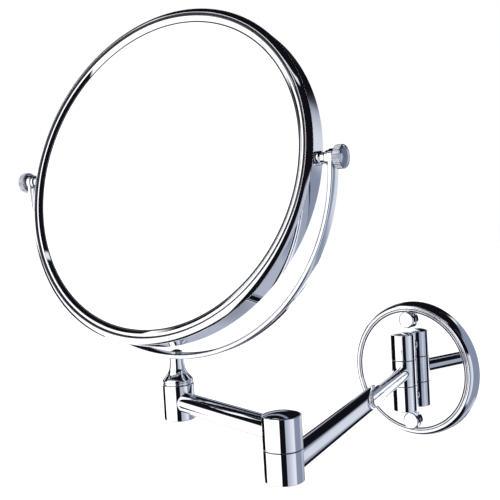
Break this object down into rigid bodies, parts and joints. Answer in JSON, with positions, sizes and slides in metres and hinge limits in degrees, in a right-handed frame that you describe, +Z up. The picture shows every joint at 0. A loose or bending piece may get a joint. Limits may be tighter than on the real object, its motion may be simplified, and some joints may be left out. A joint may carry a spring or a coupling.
{
  "type": "extendable shaving mirror",
  "caption": "Round two-sided shaving mirror in a half-hoop yoke, on a folding and telescopic chromed arm from a round wall flange.",
  "frame": {"origin": "centre of the wall flange's back face", "axes": "+Y into the wall, -Y out into the room, +Z up, +X to the right when facing the wall"},
  "size_m": [0.2335, 0.2883, 0.3026],
  "materials": {
    "chrome": "polished chrome plate on brass",
    "knob_chrome": "polished chrome plate, straight knurl",
    "bearing_ring": "bright turned ring",
    "steel": "plain zinc-plated steel",
    "nylon": "natural nylon",
    "washer_rubber": "dark friction washer",
    "plain_mirror": "silvered plain glass",
    "magnifying_mirror": "silvered concave glass",
    "pad": "board and foam pad"
  },
  "bodies": {
    "wall_mount": {"wall_flange": "chrome", "backing_plate": "steel", "knuckle_spacers": "chrome", "knuckle_screws": "steel", "wall_screws": "steel", "cap_seats": "steel", "screw_caps": "chrome", "upper_knuckle": "chrome", "lower_knuckle": "chrome", "knuckle_pin": "steel", "knuckle_plug": "chrome", "knuckle_washers": "washer_rubber"},
    "inner_arm": {"arm_tee": "chrome", "slide_rod": "chrome", "rod_end_bush": "nylon"},
    "outer_arm": {"outer_tube": "chrome", "mouth_bush": "nylon", "elbow_lower": "chrome", "elbow_pin": "steel", "elbow_washer": "washer_rubber", "elbow_spring": "steel", "elbow_nut": "steel"},
    "forearm": {"elbow_upper": "chrome", "elbow_cap": "chrome", "forearm_tube": "chrome", "stem_holder": "chrome", "holder_bush": "nylon", "swivel_ring": "bearing_ring"},
    "yoke_frame": {"stem": "chrome", "stem_washer": "steel", "stem_screw": "steel", "yoke": "chrome", "yoke_screw": "steel"},
    "mirror_head": {"rim_band": "chrome", "front_bezel": "chrome", "rear_bezel": "chrome", "plain_glass": "plain_mirror", "magnifying_glass": "magnifying_mirror", "glass_pad": "pad", "pivot_bosses": "steel", "pivot_studs": "steel", "spool_spacers": "chrome"},
    "left_knob": {"left_knob": "knob_chrome"},
    "right_knob": {"right_knob": "knob_chrome"}
  },
  "joints": [
    {"name": "wall_swing", "type": "hinge", "parent": "wall_mount", "child": "inner_arm", "pos_m": [0, -0.021, 0], "axis": [0, 0, 1], "range_deg": [-100, 70]},
    {"name": "arm_slide", "type": "slide", "parent": "inner_arm", "child": "outer_arm", "axis": [0.274, -0.9617, 0], "range_m": [-0.05, 0.07]},
    {"name": "elbow_swing", "type": "hinge", "parent": "outer_arm", "child": "forearm", "pos_m": [0.06378, -0.24489, 0], "axis": [0, 0, 1], "continuous": true},
    {"name": "stem_swivel", "type": "hinge", "parent": "forearm", "child": "yoke_frame", "pos_m": [-0.03254, -0.22336, 0.03], "axis": [0, 0, 1], "continuous": true},
    {"name": "mirror_tilt", "type": "hinge", "parent": "yoke_frame", "child": "mirror_head", "pos_m": [-0.03254, -0.22336, 0.1548], "axis": [0.9871, 0.1599, 0], "continuous": true},
    {"name": "left_knob_turn", "type": "hinge", "parent": "mirror_head", "child": "left_knob", "pos_m": [-0.03254, -0.22336, 0.1548], "axis": [-0.9871, -0.1599, 0], "range_deg": [0, 360]},
    {"name": "right_knob_turn", "type": "hinge", "parent": "mirror_head", "child": "right_knob", "pos_m": [-0.03254, -0.22336, 0.1548], "axis": [0.9871, 0.1599, 0], "range_deg": [0, 360]}
  ]
}
